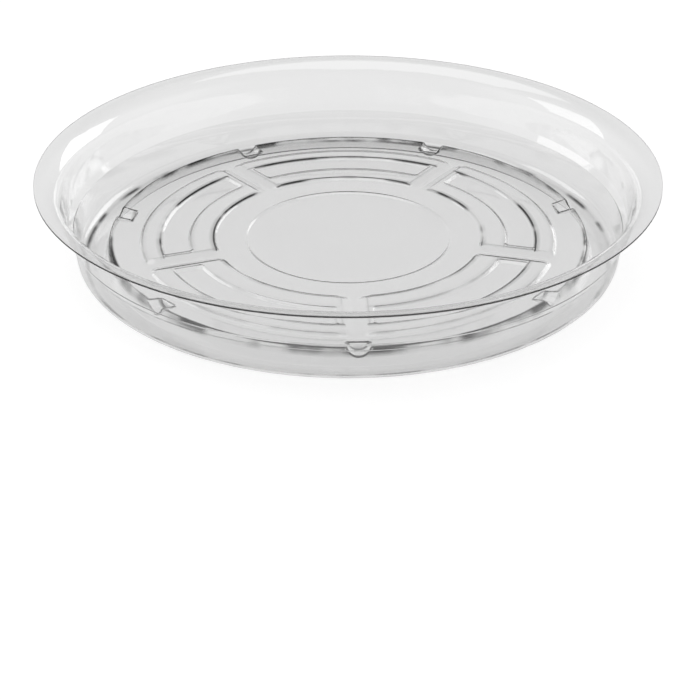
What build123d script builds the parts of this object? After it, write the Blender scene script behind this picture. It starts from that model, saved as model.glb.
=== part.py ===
from build123d import *
import os

os.makedirs("parts", exist_ok=True)

# A clear plant saucer, formed in one piece from a thin sheet of plastic.
# The origin is the middle of the ring that it stands on, with +Z up. Sizes are in millimetres.

# Whole saucer
rim_diameter = 254.0
overall_height = 36.0
sheet_thickness = 0.7

# Where the first gap between the pads and the first scoop lie, in degrees about the axis
first_angle = -87.6

# From the rim inwards, measured on the underside: the flat lip, then the wall, which is two cones
# with a small shoulder between them
lip_width = 8.5
upper_wall_flare = 3.6
shoulder_width = 1.6
lower_wall_flare = 1.9
shoulder_foot_height = 14.2
shoulder_rise = 3.2

# Hollow ring that the saucer stands on, under the wall
foot_corner_radius = 5.0
foot_width = 11.1
foot_slope_width = 2.3

# Floor inside the ring: a border that slopes down inwards, a level middle and a sunk disc at the centre
border_height = 6.8
border_width = 10.0
middle_height = 4.6
disc_share = 0.7464
disc_slope_width = 1.0
disc_depth = 0.7

# Raised pads that hold the pot out of the water, with gaps for the water between them. Their sizes are
# those of the top. Each has a well in it, which leaves a rim of unlike widths all round.
pad_count = 5
pad_height = 1.1
pad_width = 29.0
pad_margin = 3.0
pad_slope_width = 1.1
pad_gap_width = 2.3
pad_end_slope_width = 4.0
pad_end_rim_width = 1.5
inner_rim_share = 0.31
outer_rim_share = 0.24

# Scoops that widen the hollow ring inwards: each is half round and lies level
scoop_count = 7
scoop_reach = 5.7
scoop_length = 13.5
scoop_radius = 5.0
scoop_depth = 3.6

# Reach of a tool body past the surface that it cuts
overrun = 2.0

lip_underside = overall_height - sheet_thickness
shoulder_top_height = shoulder_foot_height + shoulder_rise
disc_height = middle_height - disc_depth
rim_radius = rim_diameter / 2
wall_top_radius = rim_radius - lip_width
shoulder_top_radius = wall_top_radius - upper_wall_flare
shoulder_foot_radius = shoulder_top_radius - shoulder_width
wall_foot_radius = shoulder_foot_radius - lower_wall_flare
foot_inner_radius = wall_foot_radius - foot_width
border_outer_radius = foot_inner_radius - foot_slope_width
middle_radius = border_outer_radius - border_width
pad_outer_radius = middle_radius - pad_margin
pad_inner_radius = pad_outer_radius - pad_width
disc_radius = pad_inner_radius * disc_share


def section_point(radius, height):
    return Vector(radius, 0, height)


def across_point(place, height):
    return Vector(0, place, height)


# Underside of the sheet, from the axis out to the rim
foot_corner = section_point(wall_foot_radius, 0)
underside_points = [
    section_point(0, disc_height),
    section_point(disc_radius, disc_height),
    section_point(disc_radius + disc_slope_width, middle_height),
    section_point(middle_radius, middle_height),
    section_point(border_outer_radius, border_height),
    section_point(foot_inner_radius, 0),
    foot_corner,
    section_point(shoulder_foot_radius, shoulder_foot_height),
    section_point(shoulder_top_radius, shoulder_top_height),
    section_point(wall_top_radius, lip_underside),
    section_point(rim_radius, lip_underside),
]

# Only the bend at the bottom of the wall is round enough to see: the others are crisp
bend_radii = [foot_corner_radius if point == foot_corner else 0 for point in underside_points[1:-1]]


def turned_body(line, corners):
    # The body of revolution over a section line, closed by corners outside it and a flat top
    lid = Polyline(line @ 1, *corners, section_point(0, corners[-1].Z), line @ 0)
    return revolve(make_face([*line.edges(), *lid.edges()]), Axis.Z)


def raised_outline(start, end, slope, base_height, place):
    # An outline from start to end at the top of the pads. It is wider by the slope at its base, where
    # it goes straight on down past the floor.
    low = base_height - overrun
    top_height = base_height + pad_height
    return Polyline(
        place(start - slope, low),
        place(start - slope, base_height),
        place(start, top_height),
        place(end, top_height),
        place(end + slope, base_height),
        place(end + slope, low),
        close=True,
    )


def arc_body(base_height, inner_radius, outer_radius, half_gap, side_slope, end_slope):
    # The raised arc opposite the gap at angle zero, wider at its base than at its top by the slopes
    ring_outline = raised_outline(inner_radius, outer_radius, side_slope, base_height, section_point)
    gap_outline = raised_outline(-half_gap, half_gap, -end_slope, base_height, across_point)
    ring = revolve(make_face(ring_outline), Axis.Z)
    gap = extrude(make_face(gap_outline), amount=rim_radius, dir=Axis.X.direction)
    arcs = ring - [turned(step, pad_count, gap) for step in range(pad_count)]
    return arcs.solids().sort_by(Axis.X)[0]


def pad_body(base_height):
    # One raised pad with its well, on a floor of the given height
    half_gap = pad_gap_width / 2 + pad_end_slope_width
    block = arc_body(
        base_height, pad_inner_radius, pad_outer_radius, half_gap, pad_slope_width, pad_end_slope_width
    )
    well = arc_body(
        base_height,
        pad_inner_radius + pad_width * inner_rim_share,
        pad_outer_radius - pad_width * outer_rim_share,
        half_gap + pad_end_rim_width,
        -pad_slope_width,
        -pad_slope_width,
    )
    return block - well


def scoop_body(inset):
    # One scoop at angle zero, drawn in all round by the inset
    end_radius = border_outer_radius - scoop_reach + inset
    end = section_point(end_radius, border_height - scoop_depth + scoop_radius)
    bar = Cylinder(scoop_radius - inset, scoop_length, align=(Align.CENTER, Align.CENTER, Align.MIN))
    return Plane(end, z_dir=Axis.X.direction) * bar


def turned(step, count, body, start_angle=0):
    # A copy of a body, turned to its place in a ring of several
    return Rot(0, 0, start_angle + 360 / count * step) * body


def ring_of(body, count):
    return [turned(step, count, body, first_angle) for step in range(count)]


underside = FilletPolyline(*underside_points, radius=bend_radii)
upper_side = underside.offset_2d(sheet_thickness, Kind.INTERSECTION, side=Side.RIGHT, closed=False)
top_level = overall_height + overrun
past_rim = rim_radius + overrun
filled_saucer = turned_body(underside, [section_point(rim_radius, top_level)])
hollow_corners = [section_point(past_rim, overall_height), section_point(past_rim, top_level + overrun)]
hollow = turned_body(upper_side, hollow_corners)

# The sheet lies between an outer and an inner form, which each have the pads and the scoops
outer_form = filled_saucer + ring_of(scoop_body(0), scoop_count)
outer_form -= ring_of(pad_body(middle_height), pad_count)
inner_form = hollow + ring_of(scoop_body(sheet_thickness), scoop_count)
inner_form -= ring_of(pad_body(middle_height + sheet_thickness), pad_count)
saucer = outer_form - inner_form
print("volume of the sheet in cubic millimetres:", round(saucer.volume))
export_step(saucer, "parts/saucer.step")
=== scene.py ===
from math import asin, atan2, ceil, cos, hypot, pi, radians, sin, sqrt, tan

import bpy
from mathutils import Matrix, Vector


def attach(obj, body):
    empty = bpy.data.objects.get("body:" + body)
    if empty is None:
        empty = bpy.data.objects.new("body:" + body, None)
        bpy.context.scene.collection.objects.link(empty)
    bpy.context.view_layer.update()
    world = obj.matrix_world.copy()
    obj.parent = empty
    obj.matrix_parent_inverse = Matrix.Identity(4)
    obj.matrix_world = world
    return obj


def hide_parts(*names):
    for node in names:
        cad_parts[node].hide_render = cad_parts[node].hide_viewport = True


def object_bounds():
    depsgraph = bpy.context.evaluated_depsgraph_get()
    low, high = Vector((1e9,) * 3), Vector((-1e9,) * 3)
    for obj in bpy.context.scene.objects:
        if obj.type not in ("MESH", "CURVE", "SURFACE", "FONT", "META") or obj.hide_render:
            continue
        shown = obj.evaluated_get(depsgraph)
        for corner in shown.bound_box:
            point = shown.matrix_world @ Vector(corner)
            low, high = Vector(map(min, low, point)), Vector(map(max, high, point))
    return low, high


# A clear plastic plant saucer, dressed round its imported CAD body. The scene is in metres, +Z up.
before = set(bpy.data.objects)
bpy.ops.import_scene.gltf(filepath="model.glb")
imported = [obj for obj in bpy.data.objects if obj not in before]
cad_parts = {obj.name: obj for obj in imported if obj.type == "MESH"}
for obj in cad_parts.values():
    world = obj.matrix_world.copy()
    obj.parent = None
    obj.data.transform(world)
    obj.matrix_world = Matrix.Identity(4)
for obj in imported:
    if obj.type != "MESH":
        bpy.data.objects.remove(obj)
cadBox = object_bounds()
mm = 0.001
print("frame loaded, CAD box", [round(v, 4) for corner in cadBox for v in corner])

# The camera looks down at the middle of the rim from the front
cameraSetup = {
    "distance": 0.762,        # to the middle of the rim
    "elevation": 24.1,        # of the line from the rim to the camera, in degrees
    "pitch": 29.72,           # how far the camera looks down
    "aside": 0.0008,          # keeps the saucer a little left of the middle
    "lens": 95.66,
    "sensor": 36.0,
}


def makeCamera():
    camera = bpy.data.objects.new("camera", bpy.data.cameras.new("camera"))
    bpy.context.collection.objects.link(camera)
    rise = radians(cameraSetup["elevation"])
    rimHeight = cadBox[1].z
    camera.location = (
        cameraSetup["aside"],
        -cameraSetup["distance"] * cos(rise),
        rimHeight + cameraSetup["distance"] * sin(rise),
    )
    camera.rotation_euler = (radians(90 - cameraSetup["pitch"]), 0, 0)
    camera.data.lens = cameraSetup["lens"]
    camera.data.sensor_width = cameraSetup["sensor"]
    bpy.context.scene.camera = camera


makeCamera()
bpy.context.scene.view_settings.view_transform = "Standard"
print("camera ready")


# The sheet, in millimetres. Radii and heights are those of its underside, and bends are inside radii.
sheet = {
    "thickness": 0.7,
    "discRadius": 41.8,
    "discSlope": 1.0,
    "discDepth": 0.7,
    "discBend": 1.5,
    "middleHeight": 4.6,
    "middleRadius": 88.0,
    "borderHeight": 6.8,
    "borderRadius": 98.0,
    "borderBend": 3.0,
    "footInnerRadius": 100.3,
    "troughBend": 0.45,       # at both edges of the slope down into the hollow foot
    "wallFootRadius": 111.4,
    "footBend": 4.3,
    "shoulderFoot": (113.3, 14.2),
    "shoulderTop": (114.9, 17.4),
    "shoulderBend": 1.2,
    "wallTopRadius": 118.5,
    "lipBend": 9.0,
    "rimRadius": 127.0,
    "rimHeight": 36.0,
    "frostReach": 0.2,        # how far the frost of the cut edge comes onto the lip
    "firstAngle": -87.6,      # of the first gap between the pads, and of the first scoop
}

# The raised pads and the well in each. Radii and gaps are those of the top edges.
pads = {
    "count": 5,
    "height": 1.1,
    "radii": (56.0, 85.0),
    "halfGap": 5.15,
    "sideSlope": 1.1,
    "endSlope": 4.0,
    "cornerRadius": 2.5,
    "wellRadii": (65.0, 78.0),
    "wellHalfGap": 6.65,
    "wellSlope": 1.1,
    "wellCornerRadius": 2.0,
    "edgeSoftness": 0.35,     # rounding of the edges
}

# The scoops that widen the hollow foot inwards
scoops = {
    "count": 7,
    "endRadius": 92.3,        # where the upright end of a scoop stands
    "radius": 5.0,
    "depth": 3.6,
    "endSteepness": 3.2,      # rise over run of the upright end
    "edgeSoftness": 0.45,     # rounding where a scoop meets the floor
}


def smoothMin(a, b, softness):
    # The smaller of two values, rounded where they are alike
    share = max(softness - abs(a - b), 0) / softness
    return min(a, b) - share * share * softness / 4


def smoothMax(a, b, softness):
    return -smoothMin(-a, -b, softness)


def nearestTurn(angle, count):
    # The angle from the nearest of several features in a ring, in radians
    spacing = 2 * pi / count
    past = (angle - radians(sheet["firstAngle"])) / spacing
    return (past - round(past)) * spacing


def slopesInside(radius, beside, radii, halfGap, corner, sideSlope, endSlope):
    # How far inside an outline of radii and a gap a place lies, in widths of its slope: 0 on the
    # outline, below 0 outside it. The second value is the rounding of the edge in the same measure.
    across = min(radius - radii[0], radii[1] - radius)
    along = beside - halfGap
    if across < corner and along < corner:
        reach = hypot(corner - across, corner - along)
        endShare = ((corner - along) / reach) ** 2
        inside, slope = corner - reach, sideSlope + (endSlope - sideSlope) * endShare
    elif across < along:
        inside, slope = across, sideSlope
    else:
        inside, slope = along, endSlope
    return inside / slope, pads["edgeSoftness"] / slope


def padRise(radius, angle):
    # Height of the pads above the floor, less that of their wells
    beside = abs(radius * sin(nearestTurn(angle, pads["count"])))
    block, soft = slopesInside(
        radius, beside, pads["radii"], pads["halfGap"], pads["cornerRadius"],
        pads["sideSlope"], pads["endSlope"],
    )
    raised = smoothMax(smoothMin(block + 1, 1, soft), 0, soft)
    well, soft = slopesInside(
        radius, beside, pads["wellRadii"], pads["wellHalfGap"], pads["wellCornerRadius"],
        pads["wellSlope"], pads["wellSlope"],
    )
    sunk = smoothMax(smoothMin(well, 1, soft), 0, soft)
    return pads["height"] * (raised - sunk)


def scoopPlace(radius, angle):
    # How far out along the nearest scoop a place lies, and how far beside its middle line
    turn = nearestTurn(angle, scoops["count"])
    return radius * cos(turn), abs(radius * sin(turn))


def scoopFloor(radius, angle):
    # Height of the underside of a scoop: half round, with an upright end
    out, beside = scoopPlace(radius, angle)
    if beside >= scoops["radius"]:
        return sheet["rimHeight"]
    lowest = sheet["borderHeight"] - scoops["depth"]
    trough = lowest + scoops["radius"] - sqrt(scoops["radius"] ** 2 - beside ** 2)
    end = lowest + (scoops["endRadius"] - out) * scoops["endSteepness"]
    return smoothMax(trough, end, scoops["edgeSoftness"])


def formedPoint(zone, radius, height, angle):
    # A place on the underside, with the pads and scoops formed in it
    if zone == "pads":
        height += padRise(radius, angle)
    elif zone == "scoops":
        height = smoothMin(height, scoopFloor(radius, angle), scoops["edgeSoftness"])
    return (radius * cos(angle) * mm, radius * sin(angle) * mm, height * mm)


# Painted shade: dark lines along the crisp bends, where the plastic looks darkest
darkLines = {
    "width": 0.45,            # from the middle of a line to where it ends
    "peak": 1.5,              # above 1, so that the middle of a line is evenly dark
    "faintRing": 0.3,         # strength of the two rings of the pads that show less
    "padEnd": 0.2,            # strength along the sloped ends of the pads
    "borderWidth": 1.1,
    "scoopEndWidth": 1.3,
    "scoopEnd": 0.9,
    "footRadius": 108.5,
    "footWidth": 1.1,
    "foot": 0.9,
}


def lineShade(distance, width=darkLines["width"]):
    # How dark a painted line of shade is at a distance from its middle, from 0 to 1
    return min(max(darkLines["peak"] * (1 - abs(distance) / width), 0), 1)


def padShade(radius, angle):
    # Painted shade: the inner edge of a pad and the outer edge of its well are dark, the other rings
    # faint
    beside = abs(radius * sin(nearestTurn(angle, pads["count"])))
    inner, outer = pads["radii"]
    wellInner, wellOuter = pads["wellRadii"]
    shade = 0
    if beside > pads["halfGap"] - darkLines["width"]:
        faint = max(lineShade(radius - outer), lineShade(radius - wellInner)) * darkLines["faintRing"]
        shade = max(lineShade(radius - inner), lineShade(radius - wellOuter), faint)
    if inner < radius < wellOuter:
        shade = max(shade, lineShade(beside - pads["halfGap"]) * darkLines["padEnd"])
    return shade


def borderShade(radius, angle):
    # Painted shade: a line round the border, and one across the end of each scoop
    out, beside = scoopPlace(radius, angle)
    if beside < scoops["radius"] and out < sheet["borderRadius"]:
        width = darkLines["scoopEndWidth"]
        return lineShade(out - scoops["endRadius"] - width / 2, width) * darkLines["scoopEnd"]
    return lineShade(radius - sheet["borderRadius"], darkLines["borderWidth"])


def bendShade(zone, radius, angle):
    # How dark a place is painted for the shade at its bend, from 0 to 1
    if zone == "pads":
        return padShade(radius, angle)
    if zone == "scoops":
        return borderShade(radius, angle)
    if zone == "wall":
        return lineShade(radius - darkLines["footRadius"], darkLines["footWidth"]) * darkLines["foot"]
    return 0


# How closely the mesh is spaced, in millimetres and degrees. A row goes round the saucer and a line
# goes outwards.
meshing = {
    "turn": 1.9,              # degrees between lines where nothing is formed
    "closeBy": (0.14, 0.34),  # from an edge of a pad to the extra rows and lines beside it
    "padRows": (53.5, 86.8),  # first and last row of the pads
    "padGap": 1.9,            # most that lies between two rows of the pads
    "endReach": 14.0,         # from the middle of a gap between pads to the last line that follows it
    "endGap": 0.9,            # most that lies between two of those lines
    "scoopSide": 4.75,        # from the middle of a scoop to the line at its side
    "scoopCloseBy": (0.2,),   # from there to the extra lines beside it
    "scoopReach": 6.5,        # from the middle of a scoop to the last line that follows it
    "scoopGap": 0.5,          # most that lies between two of those lines
    "featureTurn": 18.0,      # degrees that the lines beside a gap or a scoop take up
    "discRow": 10.0,          # radii of two rows that only space the mesh
    "floorRow": 50.0,
    "scoopEndRows": (-1.6, 0.8),     # where the rows stand closer, from the end of a scoop
    "footRow": 3.0,           # from the inner edge of the foot
}


def placesNear(edges, first, last, near, gap):
    # Places from first to last, close together at the edges and at most a gap apart elsewhere
    close = {first, last}
    for edge in edges:
        close |= {edge + side * step for step in near for side in (-1, 1)} | {edge}
    marks = sorted(place for place in close if first <= place <= last)
    places = [marks[0]]
    for before, after in zip(marks, marks[1:]):
        steps = max(ceil((after - before) / gap), 1)
        places += [before + (after - before) * step / steps for step in range(1, steps + 1)]
    return places


def padEdges():
    inner, outer = pads["radii"]
    wellInner, wellOuter = pads["wellRadii"]
    side, well = pads["sideSlope"], pads["wellSlope"]
    padSides = [inner - side, inner, outer, outer + side]
    return padSides + [wellInner, wellInner + well, wellOuter - well, wellOuter]


def endEdges():
    foot = pads["halfGap"] - pads["endSlope"]
    return [foot, pads["halfGap"], pads["wellHalfGap"], pads["wellHalfGap"] + pads["wellSlope"]]


def row(radius, height, steps=1):
    # A row of the mesh with no bend, and how many steps lead up to it
    return (radius, height, 0, steps, 0)


def bend(radius, height, insideRadius, steps, arcSteps):
    # A corner of the section with its inside radius, the steps up to it and the steps round it
    return (radius, height, insideRadius, steps, arcSteps)


def sectionRows():
    # The section from the middle out, in zones that share their lines round the saucer
    middle = sheet["middleHeight"]
    disc = middle - sheet["discDepth"]
    border = sheet["borderHeight"]
    lip = sheet["rimHeight"] - sheet["thickness"]
    rise = (border - middle) / (sheet["borderRadius"] - sheet["middleRadius"])
    beforeEnd, afterEnd = [scoops["endRadius"] + offset for offset in meshing["scoopEndRows"]]
    padRows = placesNear(padEdges(), *meshing["padRows"], meshing["closeBy"], meshing["padGap"])
    return {
        "centre": [
            row(meshing["discRow"], disc),
            bend(sheet["discRadius"], disc, sheet["discBend"], 3, 5),
            bend(sheet["discRadius"] + sheet["discSlope"], middle, sheet["discBend"], 1, 5),
            row(meshing["floorRow"], middle, 2),
        ],
        "pads": [row(radius, middle) for radius in padRows],
        "scoops": [
            bend(sheet["middleRadius"], middle, sheet["borderBend"], 1, 3),
            row(beforeEnd, middle + (beforeEnd - sheet["middleRadius"]) * rise, 2),
            row(afterEnd, middle + (afterEnd - sheet["middleRadius"]) * rise, 10),
            bend(sheet["borderRadius"], border, sheet["troughBend"], 7, 5),
            bend(sheet["footInnerRadius"], 0, sheet["troughBend"], 6, 5),
            row(sheet["footInnerRadius"] + meshing["footRow"], 0, 3),
        ],
        "wall": [
            bend(sheet["wallFootRadius"], 0, sheet["footBend"], 2, 9),
            bend(*sheet["shoulderFoot"], sheet["shoulderBend"], 2, 4),
            bend(*sheet["shoulderTop"], sheet["shoulderBend"], 1, 4),
            bend(sheet["wallTopRadius"], lip, sheet["lipBend"], 4, 9),
            row(sheet["rimRadius"] - sheet["frostReach"], lip, 3),
            row(sheet["rimRadius"], lip),
        ],
    }


def bendArc(before, here, after, insideRadius, arcSteps):
    # Places round a bend at here. The underside takes the outside radius where the sheet turns upwards.
    comes = (here - before).normalized()
    goes = (after - here).normalized()
    turn = atan2(comes.x * goes.y - comes.y * goes.x, comes.dot(goes))
    size = insideRadius + (sheet["thickness"] if turn > 0 else 0)
    side = Vector((-comes.y, comes.x)) * (size if turn > 0 else -size)
    middle = here - comes * size * tan(abs(turn) / 2) + side
    arc = []
    for step in range(arcSteps + 1):
        angle = turn * step / arcSteps
        spoke = Vector((
            -side.x * cos(angle) + side.y * sin(angle),
            -side.x * sin(angle) - side.y * cos(angle),
        ))
        arc.append(middle + spoke)
    return arc


def roundedStations(rows):
    # Zone, radius and height of each row of the mesh, with an arc at each bend
    zones = [zone for zone in rows for corner in rows[zone]]
    corners = [corner for zone in rows for corner in rows[zone]]
    places = [Vector(corner[:2]) for corner in corners]
    last = Vector((0, places[0].y))
    stations = []
    for index, corner in enumerate(corners):
        insideRadius, steps, arcSteps = corner[2:]
        arc = [places[index]]
        if insideRadius:
            arc = bendArc(places[index - 1], places[index], places[index + 1], insideRadius, arcSteps)
        run = [last.lerp(arc[0], step / steps) for step in range(1, steps)]
        stations += [(zones[index], place.x, place.y) for place in run + arc]
        last = arc[-1]
    return stations


def ringAngles(radius, count, offsets):
    # Angles round the saucer. Beside each of several features in a ring they keep the same distances
    # from its middle line at every radius.
    first = radians(sheet["firstAngle"])
    if not count:
        steps = round(360 / meshing["turn"])
        return [first + 2 * pi * step / steps for step in range(steps)]
    turns = [asin(offset / radius) for offset in offsets]
    spacing = 2 * pi / count
    free = spacing - 2 * turns[-1]
    steps = round((360 / count - meshing["featureTurn"]) / meshing["turn"])
    between = [turns[-1] + free * step / steps for step in range(1, steps)]
    one = turns + between + [spacing - turn for turn in turns[:0:-1]]
    return [first + spacing * index + turn for index in range(count) for turn in one]


def joinRings(faces, inner, outer):
    # Faces between two rings of vertices, each a list of angle and number
    if len(inner) == len(outer):
        for index in range(len(inner)):
            after = (index + 1) % len(inner)
            faces.append((inner[index][1], outer[index][1], outer[after][1], inner[after][1]))
        return
    innerAt = outerAt = 0
    while innerAt < len(inner) or outerAt < len(outer):
        innerNext = inner[innerAt + 1][0] if innerAt + 1 < len(inner) else inner[0][0] + 2 * pi
        outerNext = outer[outerAt + 1][0] if outerAt + 1 < len(outer) else outer[0][0] + 2 * pi
        here, there = inner[innerAt % len(inner)][1], outer[outerAt % len(outer)][1]
        if outerAt >= len(outer) or (innerAt < len(inner) and innerNext < outerNext):
            faces.append((here, there, inner[(innerAt + 1) % len(inner)][1]))
            innerAt += 1
        else:
            faces.append((here, there, outer[(outerAt + 1) % len(outer)][1]))
            outerAt += 1


def markSheet(mesh, stations, rings, shades):
    # Marks for the material: the painted dark lines of shade at the bends, the wall below its shoulder,
    # which takes painted shade, and the cut edge of the lip, which stays sharp
    shade = mesh.attributes.new("bendShade", "FLOAT", "POINT")
    shade.data.foreach_set("value", shades)
    lowerWall = mesh.attributes.new("lowerWall", "FLOAT", "POINT")
    # The wall below the shoulder is marked for painted shade
    for (zone, radius, height), ring in zip(stations, rings):
        if zone == "wall" and height < sheet["shoulderFoot"][1]:
            for angle, number in ring:
                lowerWall.data[number].value = 1
    cutEdge = mesh.attributes.new("cutEdge", "FLOAT", "POINT")
    rim = {number for angle, number in rings[-1]}
    for number in rim:
        cutEdge.data[number].value = 1
    sharp = mesh.attributes.new("sharp_edge", "BOOLEAN", "EDGE")
    for edge in mesh.edges:
        sharp.data[edge.index].value = edge.vertices[0] in rim and edge.vertices[1] in rim


def makeSheetMesh():
    endLines = placesNear(endEdges(), 0, meshing["endReach"], meshing["closeBy"], meshing["endGap"])
    scoopLines = placesNear(
        [meshing["scoopSide"]], 0, meshing["scoopReach"], meshing["scoopCloseBy"], meshing["scoopGap"]
    )
    # How many features each zone has in a ring, and where the lines beside each of them lie
    lines = {
        "centre": (0, []),
        "pads": (pads["count"], endLines),
        "scoops": (scoops["count"], scoopLines),
        "wall": (0, []),
    }
    stations = roundedStations(sectionRows())
    vertices = [(0, 0, stations[0][2] * mm)]
    shades = [0]
    rings = []
    for zone, radius, height in stations:
        ring = []
        for angle in ringAngles(radius, *lines[zone]):
            ring.append((angle, len(vertices)))
            vertices.append(formedPoint(zone, radius, height, angle))
            shades.append(bendShade(zone, radius, angle))
        rings.append(ring)
    first = [number for angle, number in rings[0]]
    faces = [(0, here, after) for here, after in zip(first, first[1:] + first[:1])]
    for inner, outer in zip(rings, rings[1:]):
        joinRings(faces, inner, outer)
    mesh = bpy.data.meshes.new("saucerSheet")
    mesh.from_pydata(vertices, [], faces)
    mesh.shade_smooth()
    markSheet(mesh, stations, rings, shades)
    return mesh


def makeSaucer():
    saucer = bpy.data.objects.new("saucerSheet", makeSheetMesh())
    bpy.context.collection.objects.link(saucer)
    thick = saucer.modifiers.new("sheetThickness", "SOLIDIFY")
    thick.thickness = sheet["thickness"] * mm
    thick.offset = 1
    thick.use_even_offset = True
    thick.use_quality_normals = True
    thick.use_rim = True
    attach(saucer, "root")
    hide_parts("saucer")
    return saucer


# Clear plastic, glossy and a little wavy from the hot sheet. Its colour carries painted shade along
# the bends and below the shoulder
clearPlastic = {
    "tint": (0.95, 0.95, 0.95, 1),
    # colour of the painted shade along the bends
    "bendShadeColour": (0.02, 0.02, 0.02, 1),
    "lowerWallShade": 0.08,   # how much painted shade darkens the wall below the shoulder
    "ior": 1.55,
    "roughness": (0.015, 0.05),
    "edgeFrost": 0.6,         # roughness that the cut edge has more
    "waveScale": 28.0,
    "waveHeight": 0.00016,
    "patchScale": 42.0,
    "patchEdges": (0.42, 0.58),
    "patchLeast": 0.12,       # strength of a painted dark line where it is faintest
}


def addNode(tree, kind, **values):
    node = tree.nodes.new(kind)
    for name, value in values.items():
        setattr(node, name, value)
    return node


def setFrom(node, ends):
    node.inputs["From Min"].default_value, node.inputs["From Max"].default_value = ends


def setTo(node, ends):
    node.inputs["To Min"].default_value, node.inputs["To Max"].default_value = ends


def addNoise(tree, scale):
    # Noise over the saucer itself, so that it stays in place in every view
    place = addNode(tree, "ShaderNodeTexCoord")
    noise = addNode(tree, "ShaderNodeTexNoise")
    noise.inputs["Scale"].default_value = scale
    tree.links.new(place.outputs["Object"], noise.inputs["Vector"])
    return noise


def addMarked(tree, mark, amount, base):
    # A value that grows by the amount where the mesh carries the mark
    marked = addNode(tree, "ShaderNodeAttribute", attribute_name=mark)
    total = addNode(tree, "ShaderNodeMath", operation="MULTIPLY_ADD")
    total.inputs[1].default_value = amount
    tree.links.new(marked.outputs["Fac"], total.inputs[0])
    tree.links.new(base, total.inputs[2])
    return total


def tintAndShadePlastic(tree, shader):
    # Painted shade: dark lines along the bends, which come and go along their length, and a little more
    #     # below the shoulder
    link = tree.links.new
    patches = addNoise(tree, clearPlastic["patchScale"])
    strong = addNode(tree, "ShaderNodeMapRange", interpolation_type="SMOOTHSTEP")
    setFrom(strong, clearPlastic["patchEdges"])
    setTo(strong, (clearPlastic["patchLeast"], 1))
    link(patches.outputs["Fac"], strong.inputs["Value"])
    # The painted shade of the bends, broken up along its length by noise
    bendMark = addNode(tree, "ShaderNodeAttribute", attribute_name="bendShade")
    brokenShade = addNode(tree, "ShaderNodeMath", operation="MULTIPLY")
    link(bendMark.outputs["Fac"], brokenShade.inputs[0])
    link(strong.outputs["Result"], brokenShade.inputs[1])
    # Painted shade below the shoulder, added to that of the lines
    shaded = addMarked(tree, "lowerWall", clearPlastic["lowerWallShade"], brokenShade.outputs[0])
    colour = addNode(tree, "ShaderNodeMix", data_type="RGBA")
    colour.inputs["A"].default_value = clearPlastic["tint"]
    colour.inputs["B"].default_value = clearPlastic["bendShadeColour"]
    link(shaded.outputs[0], colour.inputs["Factor"])
    link(colour.outputs["Result"], shader.inputs["Base Color"])


def finishPlastic(tree, shader):
    # Slow waves in the surface, with gloss that varies alike, and the frosted cut edge
    link = tree.links.new
    waves = addNoise(tree, clearPlastic["waveScale"])
    gloss = addNode(tree, "ShaderNodeMapRange")
    setTo(gloss, clearPlastic["roughness"])
    link(waves.outputs["Fac"], gloss.inputs["Value"])
    frost = addMarked(tree, "cutEdge", clearPlastic["edgeFrost"], gloss.outputs["Result"])
    link(frost.outputs[0], shader.inputs["Roughness"])
    swell = addNode(tree, "ShaderNodeBump")
    swell.inputs["Distance"].default_value = clearPlastic["waveHeight"]
    link(waves.outputs["Fac"], swell.inputs["Height"])
    link(swell.outputs["Normal"], shader.inputs["Normal"])


def makeClearPlastic():
    material = bpy.data.materials.new("clearPlastic")
    material.use_nodes = True
    shader = material.node_tree.nodes["Principled BSDF"]
    shader.inputs["IOR"].default_value = clearPlastic["ior"]
    shader.inputs["Transmission Weight"].default_value = 1
    tintAndShadePlastic(material.node_tree, shader)
    finishPlastic(material.node_tree, shader)
    return material


# The studio: a pale floor, and a world that shows in the plastic as a backdrop
studio = {
    "floorSize": 8.0,
    "floorDrop": 0.0002,      # below the foot, so that the two don't share a plane
    "floorColour": (0.26, 0.26, 0.26, 1),
    "cameraGlow": 0.88,       # the floor's own light as the camera sees it, so that it shows white
    "plasticGlow": 0.72,      # and as it shows in the plastic
    "worldLight": 0.55,
    "backdrop": 0.72,         # what shows in the plastic at the horizon
    "ceiling": 0.02,          # and overhead
    "backdropFade": (0.35, 0.75),    # Z of the directions between which it darkens
    "frontShade": 0.25,       # how much of it is left towards the front
    "frontFade": (-0.75, -0.2),      # Y of the directions between which it darkens there
}


def addInPlastic(tree, path):
    # 1 for rays that the plastic reflects or lets through
    either = addNode(tree, "ShaderNodeMath", operation="MAXIMUM")
    tree.links.new(path.outputs["Is Glossy Ray"], either.inputs[0])
    tree.links.new(path.outputs["Is Transmission Ray"], either.inputs[1])
    return either


def makePaleFloor():
    material = bpy.data.materials.new("paleFloor")
    material.use_nodes = True
    tree = material.node_tree
    link = tree.links.new
    tree.nodes.remove(tree.nodes["Principled BSDF"])
    path = addNode(tree, "ShaderNodeLightPath")
    seenDirect = addNode(tree, "ShaderNodeMath", operation="MULTIPLY")
    seenDirect.inputs[1].default_value = studio["cameraGlow"]
    link(path.outputs["Is Camera Ray"], seenDirect.inputs[0])
    strength = addNode(tree, "ShaderNodeMath", operation="MULTIPLY_ADD")
    strength.inputs[1].default_value = studio["plasticGlow"]
    link(addInPlastic(tree, path).outputs[0], strength.inputs[0])
    link(seenDirect.outputs[0], strength.inputs[2])
    glow = addNode(tree, "ShaderNodeEmission")
    link(strength.outputs[0], glow.inputs["Strength"])
    matt = addNode(tree, "ShaderNodeBsdfDiffuse")
    matt.inputs["Color"].default_value = studio["floorColour"]
    both = addNode(tree, "ShaderNodeAddShader")
    link(glow.outputs[0], both.inputs[0])
    link(matt.outputs[0], both.inputs[1])
    link(both.outputs[0], tree.nodes["Material Output"].inputs["Surface"])
    return material


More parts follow.
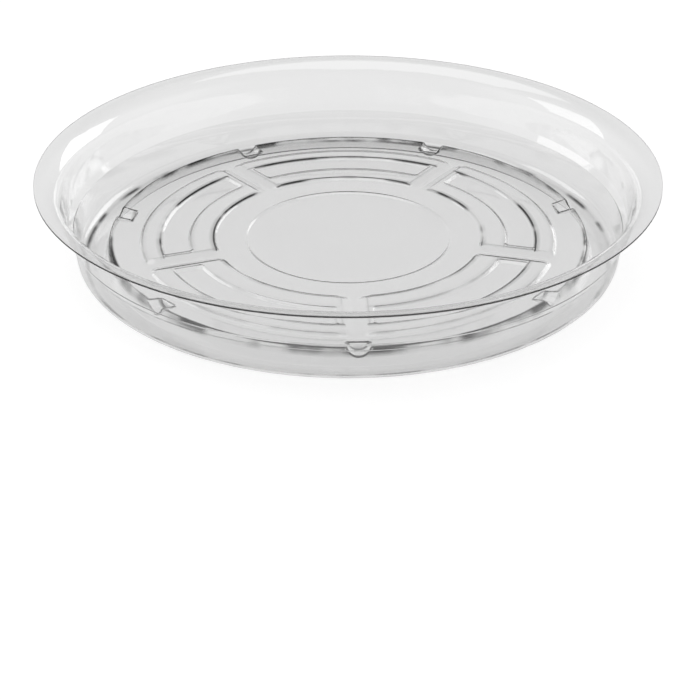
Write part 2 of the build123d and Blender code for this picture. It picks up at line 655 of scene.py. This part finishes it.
def makeFloor():
    half = studio["floorSize"] / 2
    corners = [(-half, -half, 0), (half, -half, 0), (half, half, 0), (-half, half, 0)]
    mesh = bpy.data.meshes.new("floor")
    mesh.from_pydata(corners, [], [(0, 1, 2, 3)])
    mesh.materials.append(makePaleFloor())
    floor = bpy.data.objects.new("floor", mesh)
    bpy.context.collection.objects.link(floor)
    floor.location.z = -studio["floorDrop"]


def addSkyInPlastic(tree):
    # The backdrop darkens overhead and towards the front
    link = tree.links.new
    place = addNode(tree, "ShaderNodeTexCoord")
    axes = addNode(tree, "ShaderNodeSeparateXYZ")
    link(place.outputs["Generated"], axes.inputs[0])
    backdrop = addNode(tree, "ShaderNodeMapRange", interpolation_type="SMOOTHSTEP")
    setFrom(backdrop, studio["backdropFade"])
    setTo(backdrop, (studio["backdrop"], studio["ceiling"]))
    link(axes.outputs["Z"], backdrop.inputs["Value"])
    front = addNode(tree, "ShaderNodeMapRange", interpolation_type="SMOOTHSTEP")
    setFrom(front, studio["frontFade"])
    setTo(front, (studio["frontShade"], 1))
    link(axes.outputs["Y"], front.inputs["Value"])
    shaded = addNode(tree, "ShaderNodeMath", operation="MULTIPLY")
    link(backdrop.outputs[0], shaded.inputs[0])
    link(front.outputs[0], shaded.inputs[1])
    return shaded


def makeWorld():
    world = bpy.data.worlds.new("studioWorld")
    bpy.context.scene.world = world
    world.use_nodes = True
    tree = world.node_tree
    link = tree.links.new
    tree.nodes.clear()
    path = addNode(tree, "ShaderNodeLightPath")
    # Each kind of ray takes its own strength, one after another
    strength = addNode(tree, "ShaderNodeMix", data_type="FLOAT")
    strength.inputs["A"].default_value = studio["worldLight"]
    link(addInPlastic(tree, path).outputs[0], strength.inputs["Factor"])
    link(addSkyInPlastic(tree).outputs[0], strength.inputs["B"])
    direct = addNode(tree, "ShaderNodeMix", data_type="FLOAT")
    direct.inputs["B"].default_value = 1
    link(path.outputs["Is Camera Ray"], direct.inputs["Factor"])
    link(strength.outputs[0], direct.inputs["A"])
    sky = addNode(tree, "ShaderNodeBackground")
    link(direct.outputs[0], sky.inputs["Strength"])
    output = addNode(tree, "ShaderNodeOutputWorld")
    link(sky.outputs[0], output.inputs["Surface"])


# Soft boxes, which look at the origin: place, width and height in metres, and power in watts
softBoxes = {
    "overheadBox": {"place": (-0.2, 0.1, 1.3), "size": (1.3, 1.3), "power": 5},
    "backRightBox": {"place": (0.9, 1.0, 0.5), "size": (0.9, 0.7), "power": 3.4},
    "leftBox": {"place": (-1.1, 0.4, 0.5), "size": (0.8, 0.7), "power": 2.4},
}


def makeSoftBoxes():
    for name, setup in softBoxes.items():
        light = bpy.data.lights.new(name, "AREA")
        light.shape = "RECTANGLE"
        light.size, light.size_y = setup["size"]
        light.energy = setup["power"]
        box = bpy.data.objects.new(name, light)
        bpy.context.collection.objects.link(box)
        box.location = setup["place"]
        box.rotation_euler = (-Vector(setup["place"])).to_track_quat("-Z", "Y").to_euler()


saucer = makeSaucer()
saucer.data.materials.append(makeClearPlastic())
print("saucer made,", len(saucer.data.polygons), "faces on its underside")
makeFloor()
makeWorld()
makeSoftBoxes()
print("studio ready")
